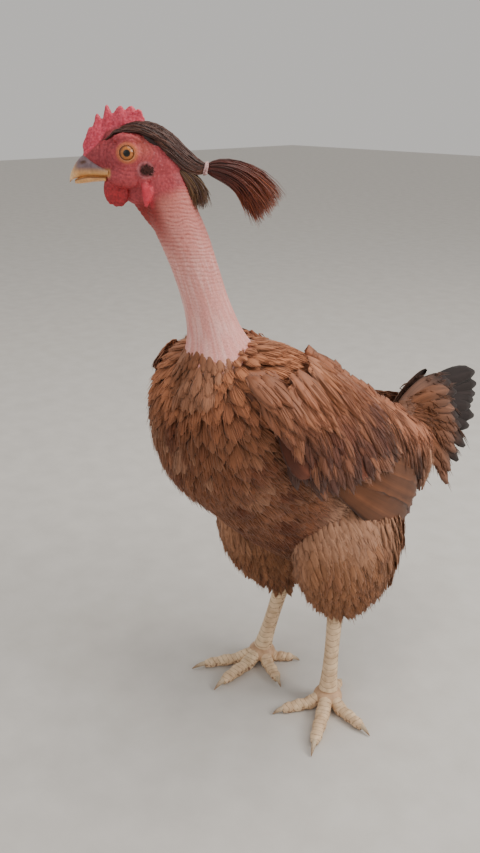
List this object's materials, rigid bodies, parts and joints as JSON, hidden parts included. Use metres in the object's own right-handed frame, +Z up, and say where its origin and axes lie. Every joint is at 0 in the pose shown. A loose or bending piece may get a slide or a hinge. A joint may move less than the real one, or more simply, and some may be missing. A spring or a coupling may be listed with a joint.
{
  "type": "naked neck chicken",
  "caption": "Standing naked neck hen with bare pink neck, rusty plumage, single comb and a head tuft tied back in a band, as a still life-size model.",
  "frame": {"origin": "on the floor, under the middle of the whole bird's box", "axes": "+Z up, -Y the way the breast faces, +X to the bird's left; the head is turned 42 degrees to the bird's right"},
  "size_m": [0.1742, 0.3946, 0.483],
  "materials": {
    "bare_skin": "pink bare skin, satin",
    "beak_horn": "satin horn",
    "claw_horn": "satin horn",
    "comb_skin": "red comb and wattle skin, satin",
    "elastic": "matt pale pink",
    "eye": "glossy amber",
    "face_skin": "red pebbled skin, satin",
    "head_tuft": "satin dark auburn feathers",
    "leg_scale": "pale scaled skin",
    "plumage": "matt rusty brown feathers",
    "tail_feathers": "satin grey-black feathers"
  },
  "bodies": {
    "root": {"beak_lower": "beak_horn", "beak_upper": "beak_horn", "claw_hind_left": "claw_horn", "claw_hind_right": "claw_horn", "claw_inner_left": "claw_horn", "claw_inner_right": "claw_horn", "claw_middle_left": "claw_horn", "claw_middle_right": "claw_horn", "claw_outer_left": "claw_horn", "claw_outer_right": "claw_horn", "comb": "comb_skin", "crest": "head_tuft", "ear_lobe_left": "comb_skin", "ear_lobe_right": "comb_skin", "ear_patch_left": "head_tuft", "ear_patch_right": "head_tuft", "eye_left": "eye", "eye_right": "eye", "hair_tie": "elastic", "head": "face_skin", "neck": "bare_skin", "plume": "head_tuft", "shank_left": "leg_scale", "shank_right": "leg_scale", "tail": "tail_feathers", "thigh_left": "plumage", "thigh_right": "plumage", "toe_hind_left": "leg_scale", "toe_hind_right": "leg_scale", "toe_inner_left": "leg_scale", "toe_inner_right": "leg_scale", "toe_middle_left": "leg_scale", "toe_middle_right": "leg_scale", "toe_outer_left": "leg_scale", "toe_outer_right": "leg_scale", "torso": "plumage", "wattle_left": "comb_skin", "wattle_right": "comb_skin", "wing_left": "plumage", "wing_right": "plumage"}
  },
  "joints": []
}
